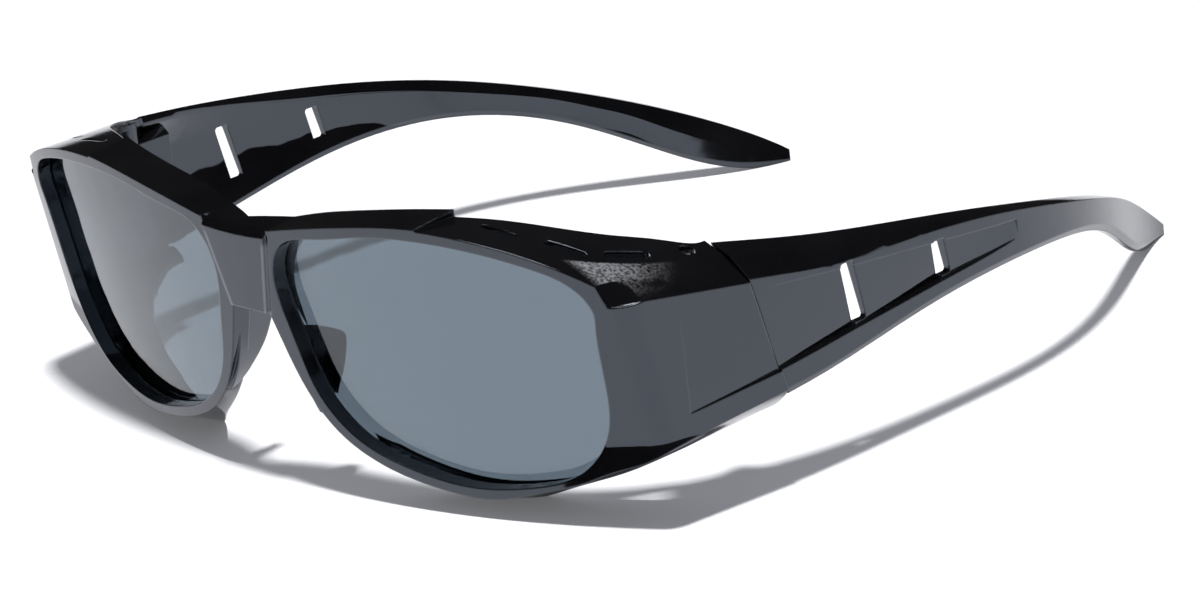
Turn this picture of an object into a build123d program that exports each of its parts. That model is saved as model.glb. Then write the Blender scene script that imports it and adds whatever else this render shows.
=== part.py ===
from build123d import *
import math
import os

# Fit-over sunglasses. All lengths in millimetres, angles in degrees.
# x runs across the face with the wearer's left at +x, y from the bridge
# towards the ears, z up from the table that the glasses stand on.

# Front: overall
shield_half_width = 73.2
front_top = 46.4
side_taper = 3.0
corner_half_width = shield_half_width - side_taper
corner_y = 16.0
joint_y = 36.0
block_rise = 3.6
block_top = front_top + block_rise
wrap_inset = 6.2
wrap_half_width = shield_half_width - wrap_inset
wrap_sag_top = 11.5
wrap_sag_low = 15.2
front_lean = 4.6
corner_radius = 4.3
wall = 1.5
overrun = 3.0

# Lens opening, rim and lens
opening_inner_x = 7.0
opening_outer_inset = 8.2
opening_low_z = 5.0
opening_top_drop = 1.8
opening_width = shield_half_width - opening_outer_inset - opening_inner_x
opening_height = front_top - opening_top_drop - opening_low_z
opening_centre_x = opening_inner_x + opening_width / 2
opening_centre_z = opening_low_z + opening_height / 2
rim_width = 1.9
nasal_rim_extra = 1.1
rim_depth = 5.2
lens_set_back = 2.6
lens_thickness = 1.4
lens_bite = 0.8
lens_clearance = 0.1

# Lens opening from its middle, as shares of its width and height
opening_shares = [
    (0.498, 0.24), (0.482, 0.0), (0.452, -0.24), (0.36, -0.4), (0.205, -0.478),
    (0.034, -0.5), (-0.155, -0.456), (-0.32, -0.362), (-0.428, -0.19),
    (-0.476, 0.04), (-0.498, 0.27), (-0.45, 0.395), (-0.31, 0.451),
    (-0.138, 0.491), (0.034, 0.5), (0.207, 0.478), (0.371, 0.425), (0.468, 0.35),
]

# Outline of the front seen from the front, as shares of the shield's half width
# and of the front's height
top_shares = [
    (0.103, 0.919), (0.218, 0.953), (0.363, 0.986), (0.497, 1.0), (0.657, 0.981),
    (0.783, 0.938), (0.898, 0.866), (0.97, 0.802), (1.03, 0.75),
]
# Lower outline at the bridge, and one shield depth behind it
low_front_shares = [
    (0.058, 0.62), (0.089, 0.485), (0.131, 0.345), (0.193, 0.241), (0.286, 0.183),
    (0.383, 0.163), (0.492, 0.148), (0.601, 0.134), (0.697, 0.164), (0.779, 0.19),
    (0.847, 0.226), (0.915, 0.236), (0.97, 0.275), (1.03, 0.36),
]
low_rear_shares = [
    (0.058, 0.62), (0.089, 0.485), (0.131, 0.345), (0.193, 0.185), (0.286, -0.043),
    (0.383, -0.114), (0.492, -0.103), (0.601, -0.01), (0.697, 0.06), (0.779, 0.125),
    (0.847, 0.185), (0.915, 0.245), (0.97, 0.3), (1.03, 0.405),
]
shield_depth = 30.0
shelf_drop = 0.5
inner_start_share = 0.4

# Bridge plate
plate_half_top = 7.5
plate_half_low = 4.2
plate_height = 13.8
plate_proud = 0.5
plate_round = 2.3

# Rear edges of the shelf and of the lower wall in plan, as shares of the half
# width and of the joint's y. The shelf's holds from shelf_level_drop under the top.
shelf_level_drop = 8.0
shelf_edge_shares = [
    (0.0, 0.11), (0.07, 0.165), (0.14, 0.205), (0.3, 0.24), (0.42, 0.28), (0.52, 0.345),
    (0.604, 0.435), (0.7, 0.54), (0.8, 0.7), (0.855, 0.84), (0.898, 0.975),
]
floor_edge_shares = [
    (0.0, 0.1), (0.14, 0.16), (0.27, 0.25), (0.38, 0.39), (0.49, 0.48), (0.6, 0.53),
    (0.7, 0.58), (0.79, 0.64), (0.87, 0.71), (0.93, 0.81), (0.965, 0.95),
]
seam_lean_share = 0.262
seam_lead = 0.4
seam_y = joint_y - seam_lead
seam_drop = 8.0
seam_z = front_top - seam_drop
seam_gap = 0.2

# Brow: the raised part of the shelf over the bridge, with a low step at its ends
brow_height = 9.9
brow_rise_share = 0.1
brow_datum_y = 2.2
brow_end_x = 38.3

# Bevel between shelf and side shield. Its lower edge falls along the shield, and
# its crest runs inside it: insets from the half width, drops from the top.
bevel_corner_drop = 9.5
bevel_joint_drop = 12.4
bevel_nose_y = 13.8
bevel_nose_inset = 6.0
bevel_nose_drop = 10.1
crest_nose_inset = 6.8
crest_nose_drop = 7.4
crest_corner_inset = 5.4
crest_corner_drop = 7.7
crest_joint_inset = 3.7
crest_joint_drop = 9.1

# Nose pads, moulded with the front. Side outline as shares of depth and height.
pad_root_y = 4.0
pad_depth = 9.0
pad_low_z = 13.4
pad_height = 13.2
pad_thickness = 1.9
pad_flare_share = 0.25
pad_reach_x = 13.2
pad_shares = [
    (0.35, 0.95), (0.74, 0.86), (0.88, 0.77), (0.85, 0.66), (0.69, 0.43),
    (0.48, 0.25), (0.26, 0.08),
]

# Vents through the shelf. Shares: x of the half width, y of the joint's y, length
# and width of the vent's, and turn of a right angle.
vent_length = 6.6
vent_width = 1.3
vent_shares = [
    (0.65, 0.342, 1.03, 0.85, 0.08),
    (0.783, 0.442, 0.97, 0.92, 0.24),
    (0.859, 0.625, 1.0, 1.3, 0.69),
]

# Hinge: the temple's knuckle turns between two ears of the front
hinge_inset = 7.2
hinge_lead = 4.7
hinge_x = shield_half_width - hinge_inset
hinge_y = joint_y - hinge_lead
ear_radius = 2.5
knuckle_radius = 2.4
ear_drop = 10.2
knuckle_gap = 0.2
knuckle_height = 5.0
lower_ear_height = 3.6
upper_ear_low_z = front_top - ear_drop
knuckle_top_z = upper_ear_low_z - knuckle_gap
knuckle_low_z = knuckle_top_z - knuckle_height
lower_ear_top_z = knuckle_low_z - knuckle_gap
lower_ear_low_z = lower_ear_top_z - lower_ear_height
screw_radius = 0.7
screw_head_radius = 1.0
screw_head_height = 0.9
screw_drop = 7.1
screw_head_top_z = front_top - screw_drop
screw_slot_width = 0.3
screw_slot_depth = 0.4
bore_clearance = 0.05
insert_radius = 1.25
arm_width = 3.6
arm_lag = 3.2
arm_back_y = joint_y + arm_lag
arm_wedge = 4.0

# Temples
temple_reach = 118.0
temple_drop = 6.8
temple_top = front_top - temple_drop
temple_wall = 1.7
edge_round = 1.0
# Stations along a temple, as shares: y of the reach behind the joint, x of the
# half width, lower edge, shoulder and ridge of the temple's top, lip and
# thickness of its wall, and inward turn of a right angle.
temple_share_rows = [
    (-0.04, 0.991, 0.332, 0.873, 1.014, 3.9, 1.0, -0.02),
    (0.068, 0.999, 0.386, 0.834, 0.955, 2.3, 1.0, -0.02),
    (0.254, 1.006, 0.467, 0.778, 0.856, 1.05, 1.05, 0.0),
    (0.458, 0.996, 0.511, 0.715, 0.735, 1.25, 1.25, 0.11),
    (0.62, 0.936, 0.456, 0.592, 0.607, 1.4, 1.4, 0.29),
    (0.76, 0.824, 0.295, 0.445, 0.46, 1.45, 1.45, 0.42),
    (0.88, 0.7, 0.078, 0.275, 0.29, 1.35, 1.35, 0.41),
    (0.97, 0.616, -0.005, 0.11, 0.122, 1.1, 1.1, 0.33),
    (1.0, 0.595, -0.005, 0.045, 0.052, 0.8, 0.8, 0.3),
]
# Crest of the section's sloping top, and the least shares of its height that the
# wall's upper part and the rounded lower edge leave free
crest_shares = (0.42, 0.64)
lip_wall_share = 0.9
lip_limit_share = 0.33
round_limit_share = 0.25
foot_share = 0.3

# Slots through a temple. Shares: y of the reach behind the joint, top and lower z
# of the temple's top.
slot_width = 2.7
slot_lean_share = 0.21
slot_corner = 0.5
slot_shares = [(0.173, 0.788, 0.545), (0.33, 0.727, 0.581)]

# Recessed panels on shield and temple, each deeper towards its rear end.
# Shares: y of the reach behind the joint, z of the temple's top and depth of
# the panel's depth, at the front end and at the rear end.
panel_top_inset = 1.4
panel_depth = 1.0
shield_panel_shares = (-0.102, 0.446, 0.1, 0.085, 0.495, 0.85)
temple_panel_shares = [
    (-0.017, 0.467, 0.35, 0.173, 0.528, 1.0),
    (0.173, 0.528, 0.4, 0.33, 0.568, 1.0),
    (0.33, 0.568, 0.4, 0.475, 0.597, -0.3),
]


def slope_between(low, top, z):
    return low + (top - low) * z / block_top


def arc_points(z, depth):
    """Middle and ends of the wrap arc at height z, moved back by depth."""
    middle_y = slope_between(front_lean, 0, z) + depth
    sag = slope_between(wrap_sag_low, wrap_sag_top, z)
    radius = (wrap_half_width**2 + sag**2) / (2 * sag)
    wide = shield_half_width + 2 * overrun
    wide_sag = radius - math.sqrt(radius**2 - wide**2)
    return [(-wide, middle_y + wide_sag), (0, middle_y), (wide, middle_y + wide_sag)]


def side_x(y):
    rate = (shield_half_width - corner_half_width) / (joint_y + corner_radius - corner_y)
    return corner_half_width + rate * (y - corner_y)


def plan_face(z, depth, inset):
    """Plan of the front behind its wrap arc and inside its side shields."""
    left, middle, right = arc_points(z, depth)
    back = joint_y + shield_depth
    arc = ThreePointArc(left, middle, right)
    rest = Polyline(right, (right[0], back), (left[0], back), left)
    behind = make_face([arc, rest])
    near = -2 * overrun
    sides = Polyline(
        (side_x(near) - inset, near),
        (side_x(back) - inset, back),
        (-side_x(back) + inset, back),
        (-side_x(near) + inset, near),
        close=True,
    )
    face = behind & make_face(sides)
    corners = [
        v for v in face.vertices()
        if abs(v.X) > opening_centre_x and v.Y < joint_y
    ]
    return Plane.XY.offset(z) * fillet(corners, corner_radius - inset)


def front_block(depth, inset=0):
    """Everything behind the front's wrapped face, moved back by depth."""
    low = plan_face(-overrun, depth, inset)
    high = plan_face(block_top, depth, inset)
    return loft([low, high], ruled=True)


def opening_points(grow):
    width = opening_width + 2 * grow
    height = opening_height + 2 * grow
    return [
        (opening_centre_x + across * width, opening_centre_z + up * height)
        for across, up in opening_shares
    ]


def opening_prism(grow, near, far):
    """Prism along y over the lens opening, grown all round."""
    face = make_face(Spline(*opening_points(grow), periodic=True))
    face = Plane.XZ.offset(-near) * face
    return extrude(face, far - near, dir=(0, 1, 0))


def outline_face(high_shares, low_shares, y, drop, inset, start_x):
    """Half outline of the front at y: top curve, outer side, lower curve."""
    top = [
        (a * shield_half_width, b * front_top - drop - inset)
        for a, b in high_shares
    ]
    low = [(a * shield_half_width, b * front_top + inset) for a, b in low_shares]
    if start_x:
        low = [p for p in low if p[0] > start_x]
        top = [p for p in top if p[0] > start_x]
        low[0] = (start_x, low[0][1])
        top.insert(0, (start_x, top[0][1] - inset / 2))
        edges = [Spline(*top), Line(top[-1], low[-1]), Spline(*low), Line(low[0], top[0])]
    else:
        bridge_top = (0, top[0][1])
        bridge_low = (0, low[0][1])
        edges = [
            Line(bridge_top, top[0]),
            Spline(*top),
            Line(top[-1], low[-1]),
            Spline(*low),
            Line(low[0], bridge_low),
            Line(bridge_low, bridge_top),
        ]
    return Plane.XZ.offset(-y) * make_face(edges)


def shield_solid(inset=0, start_x=0):
    near = outline_face(top_shares, low_front_shares, 0, 0, inset, start_x)
    far = outline_face(
        top_shares, low_rear_shares, shield_depth, shelf_drop, inset, start_x
    )
    body = loft([near, far], ruled=True)
    before = extrude(near, 2 * overrun, dir=(0, -1, 0))
    behind = extrude(far, shield_depth, dir=(0, 1, 0))
    return body + before + behind


def brow_solid():
    drop = brow_rise_share * brow_datum_y
    face = outline_face(top_shares, low_front_shares, 0, drop, 0, 0)
    body = extrude(face, shield_depth, dir=(0, 1, brow_rise_share))
    body += extrude(face, overrun, dir=(0, -1, -brow_rise_share))
    keep = Box(
        2 * brow_end_x, 4 * shield_depth, 2 * brow_height,
        align=(Align.CENTER, Align.CENTER, Align.MIN),
    )
    return body & Pos(0, 0, front_top - brow_height) * keep


def seam_y_at(z):
    return seam_y + seam_lean_share * (seam_z - z)


def rear_face(shares, z):
    """What lies behind the front's rear edge at height z."""
    stretch = seam_y_at(z) / joint_y - 1
    points = [(a * shield_half_width, b * joint_y * (1 + stretch * a)) for a, b in shares]
    end_x = shield_half_width + 2 * overrun
    last = (points[-1][0], seam_y_at(z))
    back = 2 * shield_depth + joint_y
    edges = [
        Spline(*points, last),
        Polyline(last, (end_x, seam_y_at(z)), (end_x, back), (0, back), points[0]),
    ]
    return Plane.XY.offset(z) * make_face(edges)


def rear_cutter():
    low = rear_face(floor_edge_shares, -overrun)
    level = rear_face(shelf_edge_shares, front_top - shelf_level_drop)
    high = rear_face(shelf_edge_shares, block_top + overrun)
    return loft([low, level, high], ruled=True)


def bevel_z(y):
    """Height of the bevel's lower edge on the side shield."""
    fall = (bevel_joint_drop - bevel_corner_drop) / (joint_y - corner_y)
    return front_top - bevel_corner_drop - fall * (y - corner_y)


def crest_at(y):
    """Place of the bevel's crest behind the corner."""
    along = (y - corner_y) / (joint_y - corner_y)
    inset = crest_corner_inset + (crest_joint_inset - crest_corner_inset) * along
    drop = crest_corner_drop + (crest_joint_drop - crest_corner_drop) * along
    return shield_half_width - inset, front_top - drop


def bevel_section(y, low, crest):
    """What lies above the bevel's sloping line at y."""
    reach = (block_top - low[1]) / (crest[1] - low[1])
    top = (low[0] + (crest[0] - low[0]) * reach, block_top)
    far_x = shield_half_width + 2 * overrun
    outline = Polyline(low, top, (far_x, block_top), (far_x, low[1]), close=True)
    return Plane.XZ.offset(-y) * make_face(outline)


def bevel_cutter():
    nose_low = (shield_half_width - bevel_nose_inset, front_top - bevel_nose_drop)
    nose_crest = (shield_half_width - crest_nose_inset, front_top - crest_nose_drop)
    sections = [
        bevel_section(y, nose_low, nose_crest) for y in (bevel_nose_y - 2 * overrun, bevel_nose_y)
    ]
    for y in (bevel_nose_y + corner_radius, joint_y + 2 * overrun):
        sections.append(bevel_section(y, (side_x(y), bevel_z(y)), crest_at(y)))
    return loft(sections, ruled=True)


def groove_ring():
    """Slot in the rim that holds a lens's edge, with the lens's clearance."""
    near = lens_set_back - lens_clearance
    far = lens_set_back + lens_thickness + lens_clearance
    band = front_block(near) - front_block(far)
    return band & opening_prism(lens_bite + lens_clearance, -overrun, shield_depth)


def lens():
    band = front_block(lens_set_back) - front_block(lens_set_back + lens_thickness)
    return band & opening_prism(lens_bite, -overrun, shield_depth)


def plate_top():
    return top_shares[0][1] * front_top


def bridge_plate():
    """Raised plate over the bridge, flush with the brow on top."""
    low_z = plate_top() - plate_height
    outline = Polyline(
        (plate_half_top, plate_top()), (plate_half_low, low_z),
        (-plate_half_low, low_z), (-plate_half_top, plate_top()),
        close=True,
    )
    bar = extrude(Plane.XZ.offset(overrun) * make_face(outline), shield_depth, dir=(0, 1, 0))
    return (bar & front_block(-plate_proud)) - front_block(plate_proud)


def plate_rounding():
    """What the rounded upper front edge of the bridge leaves out."""
    front_y = slope_between(front_lean, 0, plate_top()) - plate_proud
    centre = (front_y + plate_round, plate_top() - plate_round)
    square = Pos(centre[0] - plate_round, centre[1]) * Rectangle(
        2 * plate_round, 2 * plate_round, align=(Align.CENTER, Align.MIN)
    )
    side = square - Pos(*centre) * Circle(plate_round)
    return extrude(Plane.YZ.offset(-plate_half_top) * side, 2 * plate_half_top)


def ring_face(grow):
    face = make_face(Spline(*opening_points(grow), periodic=True))
    return Pos(-nasal_rim_extra, 0) * face


def nose_pad():
    """Flange behind the nasal side of the rim, flared outwards from the nose."""
    strip = ring_face(rim_width) - ring_face(rim_width - pad_thickness)
    window = Pos(0, pad_low_z) * Rectangle(
        pad_reach_x, pad_height, align=(Align.MIN, Align.MIN)
    )
    strip = Plane.XZ.offset(-pad_root_y) * (strip & window)
    flange = extrude(strip, shield_depth, dir=(pad_flare_share, 1, 0))
    low = (pad_root_y, pad_low_z)
    top = (pad_root_y, pad_low_z + pad_height)
    points = [
        (pad_root_y + back * pad_depth, pad_low_z + up * pad_height)
        for back, up in pad_shares
    ]
    profile = make_face([Line(low, top), Spline(top, *points, low)])
    return flange & extrude(Plane.YZ * profile, shield_half_width)


def vent_cutters():
    tools = []
    for across, back, length, width, turn in vent_shares:
        slot = extrude(SlotOverall(length * vent_length, width * vent_width), front_top)
        place = Pos(across * shield_half_width, back * joint_y, opening_centre_z)
        tools.append(place * Rot(0, 0, 90 * turn) * slot)
    return tools


def column(radius, low, high):
    base = Cylinder(radius, high - low, align=(Align.CENTER, Align.CENTER, Align.MIN))
    return Pos(hinge_x, hinge_y, low) * base


def upper_ear(envelope):
    """Boss under the shelf, let into its underside."""
    return column(ear_radius, upper_ear_low_z, front_top) & Pos(0, 0, -wall / 2) * envelope


def lower_ear(envelope):
    boss = column(ear_radius, lower_ear_low_z, lower_ear_top_z)
    rib = Box(
        shield_half_width - hinge_x, 2 * ear_radius, lower_ear_top_z - lower_ear_low_z,
        align=(Align.MIN, Align.CENTER, Align.MIN),
    )
    rib = Pos(hinge_x, hinge_y, lower_ear_low_z) * rib
    return (boss + rib) & envelope


def hinge_bores():
    """Bores of the front's ears: head recess, shank bore and insert seat."""
    head = column(
        screw_head_radius + bore_clearance, screw_head_top_z - screw_head_height, front_top
    )
    shank = column(screw_radius + bore_clearance, lower_ear_top_z - overrun, front_top)
    seat = column(insert_radius, lower_ear_low_z - overrun, lower_ear_top_z)
    return [head, shank, seat]


def panel_section(y, z, depth, wall_x, top_z):
    """Sliver between the outer wall and the recessed panel above its ledge."""
    return Plane.XZ.offset(-y) * make_face(Polyline(
        (wall_x, top_z),
        (wall_x - depth, z),
        (wall_x + overrun, z),
        (wall_x + overrun, top_z),
        close=True,
    ))


def panel_cutter(shares, wall_x_at, top_z_at):
    """Recess of one panel, between the shares of its front and its rear end."""
    sections = []
    for back, up, deep in (shares[:3], shares[3:]):
        y = joint_y + back * temple_reach
        sections.append(panel_section(
            y, up * temple_top, deep * panel_depth, wall_x_at(y),
            top_z_at(y) - panel_top_inset,
        ))
    return loft(sections, ruled=True)


def front_half():
    """Left half of the front: rim, brow, shelf, side shield, pad and hinge ears."""
    block = front_block(0)
    envelope = shield_solid() & block
    envelope += brow_solid() & block
    envelope -= bevel_cutter()
    inside = shield_solid(wall, opening_centre_x - opening_width * inner_start_share)
    inside &= front_block(rim_depth, wall)
    inside -= Pos(-wall, 0, -wall / 2) * bevel_cutter()
    half = envelope - rear_cutter() - inside
    half -= opening_prism(0, -overrun, shield_depth)
    half += nose_pad()
    half += upper_ear(envelope) + lower_ear(envelope)
    half -= panel_cutter(shield_panel_shares, side_x, bevel_z)
    return half - groove_ring() - hinge_bores() - vent_cutters()


def front_frame():
    half = front_half()
    whole = half + mirror(half, about=Plane.YZ)
    whole += bridge_plate()
    return floor_cut(whole - plate_rounding())


def floor_cut(solid):
    """Flat where the glasses rest."""
    reach = 4 * temple_reach
    slab = Box(reach, reach, overrun, align=(Align.CENTER, Align.CENTER, Align.MAX))
    return solid - slab


def hinge_insert():
    body = column(insert_radius, lower_ear_low_z, lower_ear_top_z)
    return body - column(screw_radius, 0, front_top)


def hinge_screw():
    head_low = screw_head_top_z - screw_head_height
    shank = column(screw_radius, lower_ear_low_z, screw_head_top_z)
    head = column(screw_head_radius, head_low, screw_head_top_z)
    slot = Box(
        2 * ear_radius, screw_slot_width, screw_slot_depth,
        align=(Align.CENTER, Align.CENTER, Align.MAX),
    )
    return shank + head - Pos(hinge_x, hinge_y, screw_head_top_z) * slot


def temple_plane(row):
    back, out, turn = row[0], row[1], row[7] * math.pi / 2
    origin = (out * shield_half_width, joint_y + back * temple_reach, 0)
    inward = (-math.cos(turn), -math.sin(turn), 0)
    along = (-math.sin(turn), math.cos(turn), 0)
    return Plane(origin=origin, x_dir=inward, z_dir=along)


def temple_section(row):
    low, shoulder, ridge = (share * temple_top for share in row[2:5])
    lip, thick = (share * temple_wall for share in row[5:7])
    under = lip_wall_share * min(thick, lip_limit_share * (shoulder - low))
    curve = min(edge_round, round_limit_share * (shoulder - low))
    crest_in, crest_up = crest_shares
    crest = (crest_in * lip, shoulder + crest_up * (ridge - shoulder))
    outer_low, outer_top = (0, low + curve), (0, shoulder)
    foot_out, foot_in = (foot_share * thick, low), ((1 - foot_share) * thick, low)
    lip_top, lip_low = (lip, ridge), (lip, ridge - under)
    inner_top, inner_low = (thick, shoulder - under), (thick, low + curve)
    edges = [
        Line(outer_low, outer_top),
        Polyline(outer_top, crest, lip_top),
        Line(lip_top, lip_low),
        Line(lip_low, inner_top),
        Line(inner_top, inner_low),
        Polyline(inner_low, foot_in, foot_out, outer_low),
    ]
    return temple_plane(row) * make_face(edges)


def seam_cutter(gap):
    """Everything in front of the seam between shield and temple."""
    low, top = -overrun, front_top
    outline = Polyline(
        (seam_y_at(low) + gap, low), (seam_y_at(top) + gap, top),
        (-overrun, top), (-overrun, low),
        close=True,
    )
    return extrude(Plane.YZ * make_face(outline), 2 * shield_half_width)


def slot_cutter(back, top_share, low_share):
    middle_y = joint_y + back * temple_reach
    top, low = top_share * temple_top, low_share * temple_top
    lean = slot_lean_share * (top - low) / 2
    half = slot_width / 2
    outline = make_face(Polyline(
        (middle_y - lean - half, top), (middle_y - lean + half, top),
        (middle_y + lean + half, low), (middle_y + lean - half, low),
        close=True,
    ))
    outline = fillet(outline.vertices(), slot_corner)
    return Pos(opening_centre_x) * extrude(Plane.YZ * outline, shield_half_width)


def temple_share_at(y, column_index):
    """Share in one column of the stations' table, read at y."""
    places = [(joint_y + row[0] * temple_reach, row[column_index]) for row in temple_share_rows]
    for (y0, share0), (y1, share1) in zip(places, places[1:]):
        if y0 <= y <= y1:
            return share0 + (share1 - share0) * (y - y0) / (y1 - y0)
    return places[-1][1]


def wall_x(y):
    return shield_half_width * temple_share_at(y, 1)


def shoulder_z(y):
    return temple_top * temple_share_at(y, 3)


def hinge_knuckle():
    """Knuckle of the temple with the arm that carries it."""
    height = knuckle_top_z - knuckle_low_z
    barrel = column(knuckle_radius, knuckle_low_z, knuckle_top_z)
    arm = Box(
        arm_width, arm_back_y - hinge_y, height, align=(Align.CENTER, Align.MIN, Align.MIN)
    )
    arm = Pos(hinge_x, hinge_y, knuckle_low_z) * arm
    block_y = seam_y_at(knuckle_low_z) + seam_gap
    inner_x = hinge_x - arm_width / 2
    outer_x = wall_x(arm_back_y) - temple_wall / 2
    corner_z = shoulder_z(arm_back_y) - temple_wall / 2
    lip = temple_wall * temple_share_at(arm_back_y, 5)
    rise = temple_top * temple_share_at(arm_back_y, 4) - shoulder_z(arm_back_y)
    crest_x = outer_x - lip * (knuckle_top_z - corner_z) / rise
    outline = Polyline(
        (inner_x, knuckle_low_z), (outer_x, knuckle_low_z), (outer_x, corner_z),
        (crest_x, knuckle_top_z), (inner_x, knuckle_top_z),
        close=True,
    )
    section = Plane.XZ.offset(-block_y) * make_face(outline)
    block = extrude(section, arm_back_y + arm_wedge - block_y, dir=(0, 1, 0))
    wedge = make_face(Polyline(
        (inner_x, block_y), (shield_half_width, block_y),
        (shield_half_width, arm_back_y + arm_wedge), (outer_x, arm_back_y + arm_wedge),
        (inner_x, arm_back_y),
        close=True,
    ))
    return barrel + arm + (block & extrude(wedge, front_top))


def temple():
    shell = loft([temple_section(row) for row in temple_share_rows])
    shell -= seam_cutter(seam_gap)
    shell -= [panel_cutter(shares, wall_x, shoulder_z) for shares in temple_panel_shares]
    shell -= [slot_cutter(*shares) for shares in slot_shares]
    shell += hinge_knuckle()
    shell -= column(screw_radius + bore_clearance, knuckle_low_z - overrun, front_top)
    return floor_cut(shell)


def build():
    parts = {"front_frame": front_frame()}
    pieces = {
        "lens": lens(), "temple": temple(),
        "hinge_screw": hinge_screw(), "hinge_insert": hinge_insert(),
    }
    for name, solid in pieces.items():
        parts[name + "_left"] = solid
        parts[name + "_right"] = mirror(solid, about=Plane.YZ)
    return parts


def main():
    parts = build()
    boxes = [solid.bounding_box() for solid in parts.values()]
    front_y = min(box.min.Y for box in boxes)
    back_y = max(box.max.Y for box in boxes)
    shift = -(front_y + back_y) / 2
    print("origin shift along y", round(shift, 3))
    os.makedirs("parts", exist_ok=True)
    for name, solid in parts.items():
        export_step(Pos(0, shift, 0) * solid, "parts/" + name + ".step")


main()
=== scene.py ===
import bpy
import math
from mathutils import Matrix, Vector

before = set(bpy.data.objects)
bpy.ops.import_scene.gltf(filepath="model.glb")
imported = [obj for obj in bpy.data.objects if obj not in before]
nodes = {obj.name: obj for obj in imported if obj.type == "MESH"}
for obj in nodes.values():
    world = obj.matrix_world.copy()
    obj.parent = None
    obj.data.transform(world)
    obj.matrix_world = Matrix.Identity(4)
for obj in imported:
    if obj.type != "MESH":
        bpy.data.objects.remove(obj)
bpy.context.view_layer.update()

MM = 0.001
WHITE = (1, 1, 1, 1)

# Camera of the photograph, in metres, degrees and mm of lens and sensor
CAMERA_PLACE = (0.68226, -0.590588, 0.30992)
CAMERA_YAW = 49.447
CAMERA_PITCH = 18.572
CAMERA_ROLL = -7.237
CAMERA_LENS = 180.0
SENSOR_WIDTH = 36.0
NEAREST_SEEN = 0.01


def make_camera():
    yaw, pitch, roll = (math.radians(a) for a in (CAMERA_YAW, CAMERA_PITCH, CAMERA_ROLL))
    forward = Vector((
        -math.sin(yaw) * math.cos(pitch), math.cos(yaw) * math.cos(pitch), -math.sin(pitch)
    ))
    right = forward.cross(Vector((0, 0, 1))).normalized()
    up = right.cross(forward)
    turned_right = right * math.cos(roll) + up * math.sin(roll)
    turned_up = up * math.cos(roll) - right * math.sin(roll)
    axes = Matrix((turned_right, turned_up, -forward)).transposed()
    data = bpy.data.cameras.new("camera")
    data.lens = CAMERA_LENS
    data.sensor_width = SENSOR_WIDTH
    data.clip_start = NEAREST_SEEN
    camera = bpy.data.objects.new("camera", data)
    camera.matrix_world = Matrix.Translation(CAMERA_PLACE) @ axes.to_4x4()
    bpy.context.scene.collection.objects.link(camera)
    bpy.context.scene.camera = camera


def new_material(name):
    material = bpy.data.materials.new(name)
    material.use_nodes = True
    tree = material.node_tree
    shader = tree.nodes["Principled BSDF"]
    return material, tree, shader


def add_node(tree, kind, **values):
    """Adds a node; each value sets the input of that name, or else the setting."""
    node = tree.nodes.new(kind)
    for name, value in values.items():
        if name in node.inputs:
            node.inputs[name].default_value = value
        else:
            setattr(node, name, value)
    return node


def feed(tree, socket, value):
    """Sets a socket to a fixed number or colour, or links another node's output to it."""
    if isinstance(value, (int, float, tuple)):
        socket.default_value = value
    else:
        tree.links.new(value, socket)


def object_noise(tree, scale, detail):
    """Noise over the piece's own coordinates; scale counts per metre."""
    place = add_node(tree, "ShaderNodeTexCoord")
    noise = add_node(tree, "ShaderNodeTexNoise", Scale=scale, Detail=detail)
    tree.links.new(place.outputs["Object"], noise.inputs["Vector"])
    return noise.outputs["Fac"]


def between(tree, source, low, high, to_low, to_high):
    """Maps the stretch from low to high onto the one from to_low to to_high."""
    node = add_node(tree, "ShaderNodeMapRange")
    names = ("Value", "From Min", "From Max", "To Min", "To Max")
    for name, value in zip(names, (source, low, high, to_low, to_high)):
        feed(tree, node.inputs[name], value)
    return node.outputs["Result"]


def soft_step(tree, source, low, high):
    """Rises smoothly from 0 at low to 1 at high, which may be the lesser of the two."""
    node = add_node(tree, "ShaderNodeMapRange", interpolation_type="SMOOTHSTEP")
    for name, value in zip(("Value", "From Min", "From Max"), (source, low, high)):
        feed(tree, node.inputs[name], value)
    return node.outputs["Result"]


def reckon(tree, operation, *values):
    node = add_node(tree, "ShaderNodeMath", operation=operation)
    for socket, value in zip(node.inputs, values):
        feed(tree, socket, value)
    return node.outputs[0]


def product(tree, first, *others):
    for other in others:
        first = reckon(tree, "MULTIPLY", first, other)
    return first


# Places of the mix node's factor and two colours among its inputs, and of its result
MIX_INPUTS = (0, 6, 7)
MIX_RESULT = 2


def mixed(tree, factor, first, second):
    """The first colour where factor is 0 and the second where it is 1."""
    node = add_node(tree, "ShaderNodeMix", data_type="RGBA")
    for place, value in zip(MIX_INPUTS, (factor, first, second)):
        feed(tree, node.inputs[place], value)
    return node.outputs[MIX_RESULT]


def dimmed(colour, share):
    return tuple(share * part for part in colour[:3]) + (1,)


def read_table(tree, source, table):
    """Value of a table of places and values, read along a smooth curve."""
    first, last = table[0][0], table[-1][0]
    low = min(row[1] for row in table)
    high = max(row[1] for row in table)
    node = add_node(tree, "ShaderNodeFloatCurve")
    curve = node.mapping.curves[0]
    points = [((a - first) / (last - first), (b - low) / (high - low)) for a, b in table]
    curve.points[0].location = points[0]
    curve.points[1].location = points[-1]
    for point in points[1:-1]:
        curve.points.new(*point)
    node.mapping.update()
    tree.links.new(between(tree, source, first, last, 0, 1), node.inputs["Value"])
    return between(tree, node.outputs["Value"], 0, 1, low, high)


def split(tree, vector):
    """The x, y and z of a vector."""
    node = add_node(tree, "ShaderNodeSeparateXYZ")
    tree.links.new(vector, node.inputs[0])
    return node.outputs


# From the bridge's front to the middle of the glasses, in mm
FRONT_TO_MIDDLE = 77.158


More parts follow.
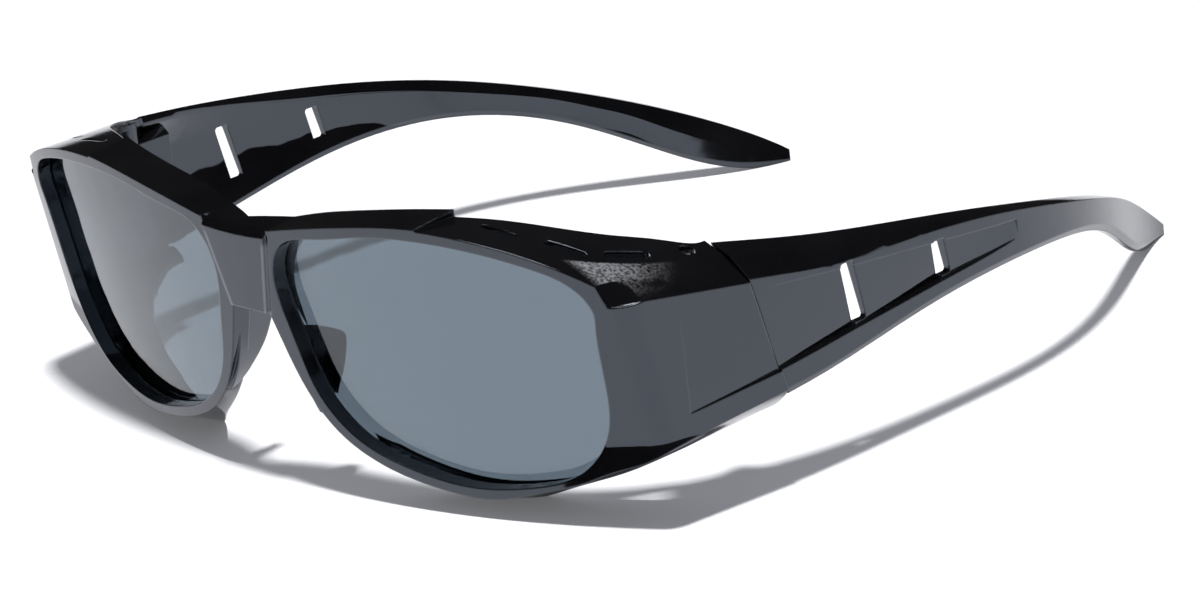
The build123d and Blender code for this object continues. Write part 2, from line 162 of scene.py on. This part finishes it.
def piece_place(tree):
    """Distance from the middle plane, y from the bridge's front, and height, in mm."""
    place = add_node(tree, "ShaderNodeTexCoord")
    shift = add_node(tree, "ShaderNodeVectorMath", operation="MULTIPLY_ADD")
    tree.links.new(place.outputs["Object"], shift.inputs[0])
    shift.inputs[1].default_value = (1 / MM, 1 / MM, 1 / MM)
    shift.inputs[2].default_value = (0, FRONT_TO_MIDDLE, 0)
    x, y, z = split(tree, shift.outputs[0])
    return reckon(tree, "ABSOLUTE", x), y, z


def piece_facing(tree):
    """How far the surface faces away from the middle plane, and how far up."""
    place = add_node(tree, "ShaderNodeTexCoord")
    side = reckon(tree, "SIGN", split(tree, place.outputs["Object"])[0])
    across, _, up = split(tree, place.outputs["Normal"])
    return reckon(tree, "MULTIPLY", across, side), up


# Temple: its joint and length, then its lower edge and its ridge in mm at shares of the
# length behind the joint
TEMPLE_JOINT, TEMPLE_LENGTH = 36.0, 118.0
TEMPLE_LOW = (
    (-0.04, 13.1), (0.07, 15.3), (0.25, 18.5), (0.46, 20.2), (0.62, 18.1), (0.76, 11.7),
    (0.88, 3.1), (0.97, -0.2), (1.0, -0.2),
)
TEMPLE_RIDGE = (
    (-0.04, 40.1), (0.07, 37.8), (0.25, 33.9), (0.46, 29.1), (0.62, 24.0), (0.76, 18.2),
    (0.88, 11.5), (0.97, 4.8), (1.0, 2.1),
)
# Inner face of a temple: breadth of the crowned bands under the ridge and above the
# lower edge as shares of its height, and how far the middle leans up
CROWN_TOP = (
    (0.0, 0.05), (0.2, 0.07), (0.33, 0.13), (0.46, 0.22), (0.62, 0.38), (0.8, 0.46),
    (0.93, 0.65), (1.0, 1.0),
)
CROWN_LOW = (
    (0.0, 0.5), (0.17, 0.48), (0.25, 0.41), (0.33, 0.33), (0.43, 0.2), (0.5, 0.04),
    (1.0, 0.0),
)
CROWN_MIDDLE = ((0.0, 0.0), (0.42, 0.0), (0.55, 0.07), (0.78, 0.11), (0.9, 0.17), (1.0, 0.3))
CROWN_LEAN = 0.36
# Softness of the bands' borders, and the lower border's waves, as shares of the height
CROWN_TOP_BLUR, CROWN_LOW_BLUR = 0.05, 0.02
CROWN_WAVE, CROWN_WAVE_SCALE, CROWN_WAVE_DETAIL = 0.07, 75.0, 2.0
CROWN_FACING = (-0.5, -0.8)
# Where most of a noise's values lie
NOISE_LOW, NOISE_HIGH = 0.3, 0.7


def temple_crown(tree):
    """Upward lean of the crowned bands and of the middle of a temple's inner face."""
    _, y, z = piece_place(tree)
    out, _ = piece_facing(tree)
    along = reckon(tree, "DIVIDE", reckon(tree, "SUBTRACT", y, TEMPLE_JOINT), TEMPLE_LENGTH)
    low = read_table(tree, along, TEMPLE_LOW)
    ridge = read_table(tree, along, TEMPLE_RIDGE)
    height = reckon(tree, "DIVIDE", reckon(tree, "SUBTRACT", z, low),
                    reckon(tree, "SUBTRACT", ridge, low))
    under_ridge = reckon(tree, "SUBTRACT", 1.0, height)
    over = reckon(tree, "SUBTRACT", read_table(tree, along, CROWN_TOP), under_ridge)
    over = soft_step(tree, over, -CROWN_TOP_BLUR, CROWN_TOP_BLUR)
    wave = object_noise(tree, CROWN_WAVE_SCALE, CROWN_WAVE_DETAIL)
    wave = between(tree, wave, NOISE_LOW, NOISE_HIGH, -CROWN_WAVE, CROWN_WAVE)
    under = reckon(tree, "SUBTRACT", read_table(tree, along, CROWN_LOW), height)
    under = soft_step(tree, reckon(tree, "ADD", under, wave), -CROWN_LOW_BLUR, CROWN_LOW_BLUR)
    bands = reckon(tree, "MULTIPLY", reckon(tree, "MAXIMUM", over, under), CROWN_LEAN)
    lean = reckon(tree, "MAXIMUM", bands, read_table(tree, along, CROWN_MIDDLE))
    return reckon(tree, "MULTIPLY", lean, soft_step(tree, out, *CROWN_FACING))


# Lower edge of the side shield: y and height of the line under which it rolls outwards,
# and where the roll begins: below the line, at its back end and round the front corner
ROLL_LINE = (
    (8.0, 6.0), (11.5, 11.5), (15.0, 14.4), (20.0, 15.0), (26.0, 14.6), (34.0, 13.5),
    (37.0, 12.9),
)
ROLL_LEAN = 0.6
ROLL_BELOW = (0.0, 1.5)
ROLL_BACK = (37.0, 24.0)
ROLL_FACING = (0.19, 0.46)


def shield_roll(tree):
    """Upward lean of the rolled lower edge of the side shield."""
    _, y, z = piece_place(tree)
    out, _ = piece_facing(tree)
    below = reckon(tree, "SUBTRACT", read_table(tree, y, ROLL_LINE), z)
    return product(
        tree, soft_step(tree, below, *ROLL_BELOW), soft_step(tree, y, *ROLL_BACK),
        soft_step(tree, out, *ROLL_FACING), ROLL_LEAN,
    )


# Grained strip of the shelf's top, whose grey specks are painted sheen: y and x of its inner
# border, how that is blurred, where the strip fades in and out along y, and what tells the
# top from the faces around it
STRIP_BORDER = (
    (12.0, 58.6), (14.2, 60.2), (18.0, 62.9), (24.2, 65.9), (30.4, 67.6), (35.2, 68.8),
)
STRIP_BLUR = 0.3
STRIP_BACK = (29.0, 18.0)
STRIP_FRONT = (13.0, 15.0)
STRIP_FACING = (0.75, 0.9)
STRIP_HEIGHT = (36.5, 37.2)


def grained_strip_and_sheen(tree):
    """One on the grained strip beside the vents, where grey specks of painted sheen go, fading
    towards the temple.
    """
    across, y, z = piece_place(tree)
    _, up = piece_facing(tree)
    beyond = reckon(tree, "SUBTRACT", across, read_table(tree, y, STRIP_BORDER))
    return product(
        tree, soft_step(tree, beyond, -STRIP_BLUR, STRIP_BLUR),
        soft_step(tree, y, *STRIP_BACK), soft_step(tree, y, *STRIP_FRONT),
        soft_step(tree, up, *STRIP_FACING), soft_step(tree, z, *STRIP_HEIGHT),
    )


# Bridge plate: its half width at top and foot, their heights, how far from its side edge
# the painted highlight reaches, and where that fades at the foot, at the top and towards the
# back, in mm
PLATE_HALF_TOP, PLATE_HALF_FOOT = 7.5, 4.2
PLATE_TOP, PLATE_FOOT = 42.6, 28.8
PLATE_HIGHLIGHT_WIDTH = (0.8, 0.4)
PLATE_FOOT_FADE = (PLATE_FOOT - 0.5, PLATE_FOOT)
PLATE_TOP_FADE = (PLATE_TOP - 1.5, PLATE_TOP - 3.0)
PLATE_BACK_FADE = (3.5, 3.0)
# Grey of the painted highlight on the plate's side edges
PLATE_HIGHLIGHT_GREY = (0.13, 0.135, 0.15, 1)


def plate_edge_highlight(tree):
    """One on the side edges of the bridge plate, where a highlight is painted."""
    across, y, z = piece_place(tree)
    half = between(tree, z, PLATE_FOOT, PLATE_TOP, PLATE_HALF_FOOT, PLATE_HALF_TOP)
    distance = reckon(tree, "ABSOLUTE", reckon(tree, "SUBTRACT", across, half))
    return product(
        tree, soft_step(tree, distance, *PLATE_HIGHLIGHT_WIDTH), soft_step(tree, z, *PLATE_FOOT_FADE),
        soft_step(tree, z, *PLATE_TOP_FADE), soft_step(tree, y, *PLATE_BACK_FADE),
    )


def leant(tree, normal, lean):
    """Normal that leans upwards on the piece by lean."""
    up = add_node(tree, "ShaderNodeCombineXYZ")
    tree.links.new(lean, up.inputs["Z"])
    turn = add_node(tree, "ShaderNodeVectorTransform", vector_type="VECTOR",
                    convert_from="OBJECT", convert_to="WORLD")
    tree.links.new(up.outputs[0], turn.inputs[0])
    total = add_node(tree, "ShaderNodeVectorMath", operation="ADD")
    tree.links.new(normal, total.inputs[0])
    tree.links.new(turn.outputs[0], total.inputs[1])
    unit = add_node(tree, "ShaderNodeVectorMath", operation="NORMALIZE")
    tree.links.new(total.outputs[0], unit.inputs[0])
    return unit.outputs[0]


# Gloss black plastic: colours, then noises as scale and detail, and their effects
BLACK = (0.0025, 0.0025, 0.003, 1)
BLACK_WORN = (0.008, 0.008, 0.009, 1)
GLOSS_TINT = (0.77, 0.85, 1.0, 1)
PLASTIC_IOR = 1.53
PLASTIC_GLOSS = 0.85
WORN_NOISE = (60.0, 3.0)
WORN_SPREAD = (0.35, 0.75)
WORN_MOST = 0.6
SMUDGE_NOISE = (35.0, 4.0)
SMUDGE_SPREAD = (0.3, 0.75)
SMUDGE_ROUGHNESS = (0.05, 0.11)
PEEL_NOISE = (260.0, 1.0)
PEEL_STRENGTH, PEEL_DEPTH = 0.05, 0.3 * MM
# Grey of the strip's specks: painted sheen where the grain would catch the light
STRIP_SHEEN_GREY = (0.2, 0.2, 0.208, 1)
GRAIN_AND_SHEEN_NOISE = (2200.0, 3.0)
SHEEN_SPECK_SPREAD = (0.3, 0.66)
GRAIN_ROUGHNESS = 0.3
GRAIN_RELIEF = 4.0
EDGE_RADIUS = 0.4 * MM
EDGE_SAMPLES = 6


def gloss_black(name, lean_of, grain_and_sheen_of=None, highlight_of=None):
    """Polished plastic: faint tint, smudges and peel, with small moulded edge radii.
    The three functions give the surface's lean, where it is grained with specks of painted
    sheen, and where its edges get a painted highlight."""
    material, tree, shader = new_material(name)
    worn = between(tree, object_noise(tree, *WORN_NOISE), *WORN_SPREAD, 0.0, WORN_MOST)
    colour = mixed(tree, worn, BLACK, BLACK_WORN)
    smudge = object_noise(tree, *SMUDGE_NOISE)
    rough = between(tree, smudge, *SMUDGE_SPREAD, *SMUDGE_ROUGHNESS)
    relief = object_noise(tree, *PEEL_NOISE)
    if grain_and_sheen_of:
        patch = grain_and_sheen_of(tree)
        speck = object_noise(tree, *GRAIN_AND_SHEEN_NOISE)
        light = soft_step(tree, speck, *SHEEN_SPECK_SPREAD)
        # Painted sheen: grey specks on the grained strip
        colour = mixed(tree, product(tree, patch, light), colour, STRIP_SHEEN_GREY)
        rough = reckon(tree, "ADD", rough, product(tree, patch, GRAIN_ROUGHNESS))
        relief = reckon(tree, "ADD", relief, product(tree, patch, GRAIN_RELIEF, speck))
    if highlight_of:
        # Painted highlight along the side edges of the bridge plate
        colour = mixed(tree, highlight_of(tree), colour, PLATE_HIGHLIGHT_GREY)
    tree.links.new(colour, shader.inputs["Base Color"])
    tree.links.new(rough, shader.inputs["Roughness"])
    shader.inputs["IOR"].default_value = PLASTIC_IOR
    shader.inputs["Specular IOR Level"].default_value = PLASTIC_GLOSS
    shader.inputs["Specular Tint"].default_value = GLOSS_TINT
    edge = add_node(tree, "ShaderNodeBevel", samples=EDGE_SAMPLES, Radius=EDGE_RADIUS)
    bump = add_node(tree, "ShaderNodeBump", Strength=PEEL_STRENGTH, Distance=PEEL_DEPTH)
    tree.links.new(relief, bump.inputs["Height"])
    tree.links.new(leant(tree, edge.outputs["Normal"], lean_of(tree)), bump.inputs["Normal"])
    tree.links.new(bump.outputs["Normal"], shader.inputs["Normal"])
    return material


# Smoke lens: colour seen through it, its gloss, and the light that its shadow lets through
LENS_TINT = (0.112, 0.148, 0.18, 1)
LENS_TINT_SHARE = 0.97
LENS_NOISE = (12.0, 1.0)
LENS_IOR = 1.68
LENS_GLOSS = (0.86, 0.93, 1.0, 1)
LENS_SHADOW = (0.2, 0.22, 0.26, 1)


def smoke_lens():
    material, tree, shader = new_material("smoke_lens")
    tint = mixed(tree, object_noise(tree, *LENS_NOISE), LENS_TINT,
                 dimmed(LENS_TINT, LENS_TINT_SHARE))
    tree.links.new(tint, shader.inputs["Base Color"])
    shader.inputs["Transmission Weight"].default_value = 1.0
    shader.inputs["Roughness"].default_value = 0.0
    shader.inputs["IOR"].default_value = LENS_IOR
    shader.inputs["Specular Tint"].default_value = LENS_GLOSS
    path = add_node(tree, "ShaderNodeLightPath")
    clear = add_node(tree, "ShaderNodeBsdfTransparent", Color=LENS_SHADOW)
    mix = add_node(tree, "ShaderNodeMixShader")
    tree.links.new(path.outputs["Is Shadow Ray"], mix.inputs[0])
    tree.links.new(shader.outputs["BSDF"], mix.inputs[1])
    tree.links.new(clear.outputs["BSDF"], mix.inputs[2])
    tree.links.new(mix.outputs["Shader"], tree.nodes["Material Output"].inputs["Surface"])
    return material


# Metals of the hinge: grain, and its effect on colour and roughness
METAL_NOISE = (900.0, 2.0)
METAL_DARK_SHARE = 0.7
METAL_ROUGHER = 0.1
STEEL, STEEL_ROUGHNESS = (0.12, 0.12, 0.125, 1), 0.25
BRASS, BRASS_ROUGHNESS = (0.72, 0.5, 0.22, 1), 0.3


def metal(name, colour, roughness):
    material, tree, shader = new_material(name)
    grain = object_noise(tree, *METAL_NOISE)
    shade = mixed(tree, grain, colour, dimmed(colour, METAL_DARK_SHARE))
    tree.links.new(shade, shader.inputs["Base Color"])
    shader.inputs["Metallic"].default_value = 1.0
    rough = between(tree, grain, NOISE_LOW, NOISE_HIGH, roughness, roughness + METAL_ROUGHER)
    tree.links.new(rough, shader.inputs["Roughness"])
    return material


SHARP_ANGLE = 20.0
WELD_DISTANCE = 0.002 * MM


def sharp_edges():
    """Node group that marks the edges which stay sharp in the smooth shading."""
    group = bpy.data.node_groups.new("sharp_edges", "GeometryNodeTree")
    for way in ("INPUT", "OUTPUT"):
        group.interface.new_socket("Geometry", in_out=way, socket_type="NodeSocketGeometry")
    source = add_node(group, "NodeGroupInput")
    result = add_node(group, "NodeGroupOutput")
    angle = add_node(group, "GeometryNodeInputMeshEdgeAngle")
    limit = add_node(group, "FunctionNodeCompare", data_type="FLOAT", operation="GREATER_THAN")
    limit.inputs[1].default_value = math.radians(SHARP_ANGLE)
    mark = add_node(group, "GeometryNodeStoreNamedAttribute", data_type="BOOLEAN", domain="EDGE",
                    Name="sharp_edge")
    group.links.new(angle.outputs["Unsigned Angle"], limit.inputs[0])
    group.links.new(source.outputs[0], mark.inputs["Geometry"])
    group.links.new(limit.outputs[0], mark.inputs["Value"])
    group.links.new(mark.outputs["Geometry"], result.inputs[0])
    return group


def dress(node_name, material, sharp):
    """Gives a node its material and smooth shading between its edges."""
    piece = nodes[node_name]
    piece.data.materials.clear()
    piece.data.materials.append(material)
    for polygon in piece.data.polygons:
        polygon.use_smooth = True
    weld = piece.modifiers.new("weld", "WELD")
    weld.merge_threshold = WELD_DISTANCE
    marks = piece.modifiers.new("sharp", "NODES")
    marks.node_group = sharp
    normals = piece.modifiers.new("normals", "WEIGHTED_NORMAL")
    normals.keep_sharp = True


def dress_all():
    frame_black = gloss_black("frame_black", shield_roll, grained_strip_and_sheen, plate_edge_highlight)
    temple_black = gloss_black("temple_black", temple_crown)
    lens = smoke_lens()
    steel = metal("black_steel", STEEL, STEEL_ROUGHNESS)
    brass = metal("brass", BRASS, BRASS_ROUGHNESS)
    sharp = sharp_edges()
    dress("front_frame", frame_black, sharp)
    for side in ("left", "right"):
        dress("lens_" + side, lens, sharp)
        dress("temple_" + side, temple_black, sharp)
        dress("hinge_screw_" + side, steel, sharp)
        dress("hinge_insert_" + side, brass, sharp)


# Floor: size in metres, colour, the light that it adds where it is seen, and from where
# to where, in metres from its middle, the camera sees it turn plain white
FLOOR_SIZE = 6.0
FLOOR_COLOUR = (0.86, 0.86, 0.87, 1)
FLOOR_ROUGHNESS = 0.9
FLOOR_GLOW = 0.11
FLOOR_FAR = (0.3, 1.6)


def seen_directly(tree, path):
    """One for camera and transmission rays."""
    return reckon(tree, "MAXIMUM", path.outputs["Is Camera Ray"],
                  path.outputs["Is Transmission Ray"])


def make_floor():
    bpy.ops.mesh.primitive_plane_add(size=FLOOR_SIZE, location=(0, 0, 0))
    floor = bpy.context.active_object
    floor.name = "floor"
    material, tree, shader = new_material("floor")
    shader.inputs["Base Color"].default_value = FLOOR_COLOUR
    shader.inputs["Roughness"].default_value = FLOOR_ROUGHNESS
    shader.inputs["Specular IOR Level"].default_value = 0.0
    shader.inputs["Emission Color"].default_value = WHITE
    path = add_node(tree, "ShaderNodeLightPath")
    seen = reckon(tree, "MAXIMUM", seen_directly(tree, path), path.outputs["Is Glossy Ray"])
    place = add_node(tree, "ShaderNodeTexCoord")
    distance = add_node(tree, "ShaderNodeVectorMath", operation="LENGTH")
    tree.links.new(place.outputs["Object"], distance.inputs[0])
    far = soft_step(tree, distance.outputs["Value"], *FLOOR_FAR)
    glow = reckon(tree, "ADD", product(tree, seen, FLOOR_GLOW),
                  product(tree, far, path.outputs["Is Camera Ray"]))
    tree.links.new(glow, shader.inputs["Emission Strength"])
    floor.data.materials.append(material)


# Light of the room: on the object, and as its gloss mirrors it
WORLD_FILL = (0.175, 0.182, 0.21, 1)
WORLD_GLOSS = (0.016, 0.016, 0.016, 1)


def make_world():
    """White behind the floor, dark above it as a studio's ceiling is in the gloss."""
    world = bpy.data.worlds.new("studio")
    bpy.context.scene.world = world
    world.use_nodes = True
    tree = world.node_tree
    path = add_node(tree, "ShaderNodeLightPath")
    room = mixed(tree, path.outputs["Is Glossy Ray"], WORLD_FILL, WORLD_GLOSS)
    colour = mixed(tree, seen_directly(tree, path), room, WHITE)
    tree.links.new(colour, tree.nodes["Background"].inputs["Color"])


# Lamps, aimed at the origin: place and width in metres, power in watts
KEY_PLACE, KEY_WIDTH, KEY_POWER = (0.37, -0.26, 1.6), 0.14, 30
SOFTBOX_PLACE, SOFTBOX_WIDTH, SOFTBOX_POWER = (-0.42, 0.36, 1.3), 0.45, 8


def square_lamp(name, place, width, power):
    data = bpy.data.lights.new(name, "AREA")
    data.size = width
    data.energy = power
    light = bpy.data.objects.new(name, data)
    light.rotation_euler = (-Vector(place)).to_track_quat("-Z", "Y").to_euler()
    light.location = place
    bpy.context.scene.collection.objects.link(light)
    return light


def make_lights():
    """The key lamp casts the shadow, and the softbox draws light lines along edges."""
    key = square_lamp("key", KEY_PLACE, KEY_WIDTH, KEY_POWER)
    key.visible_glossy = False
    softbox = square_lamp("softbox", SOFTBOX_PLACE, SOFTBOX_WIDTH, SOFTBOX_POWER)
    softbox.visible_diffuse = False


make_camera()
make_floor()
make_world()
make_lights()
dress_all()
bpy.context.scene.view_settings.view_transform = "Standard"
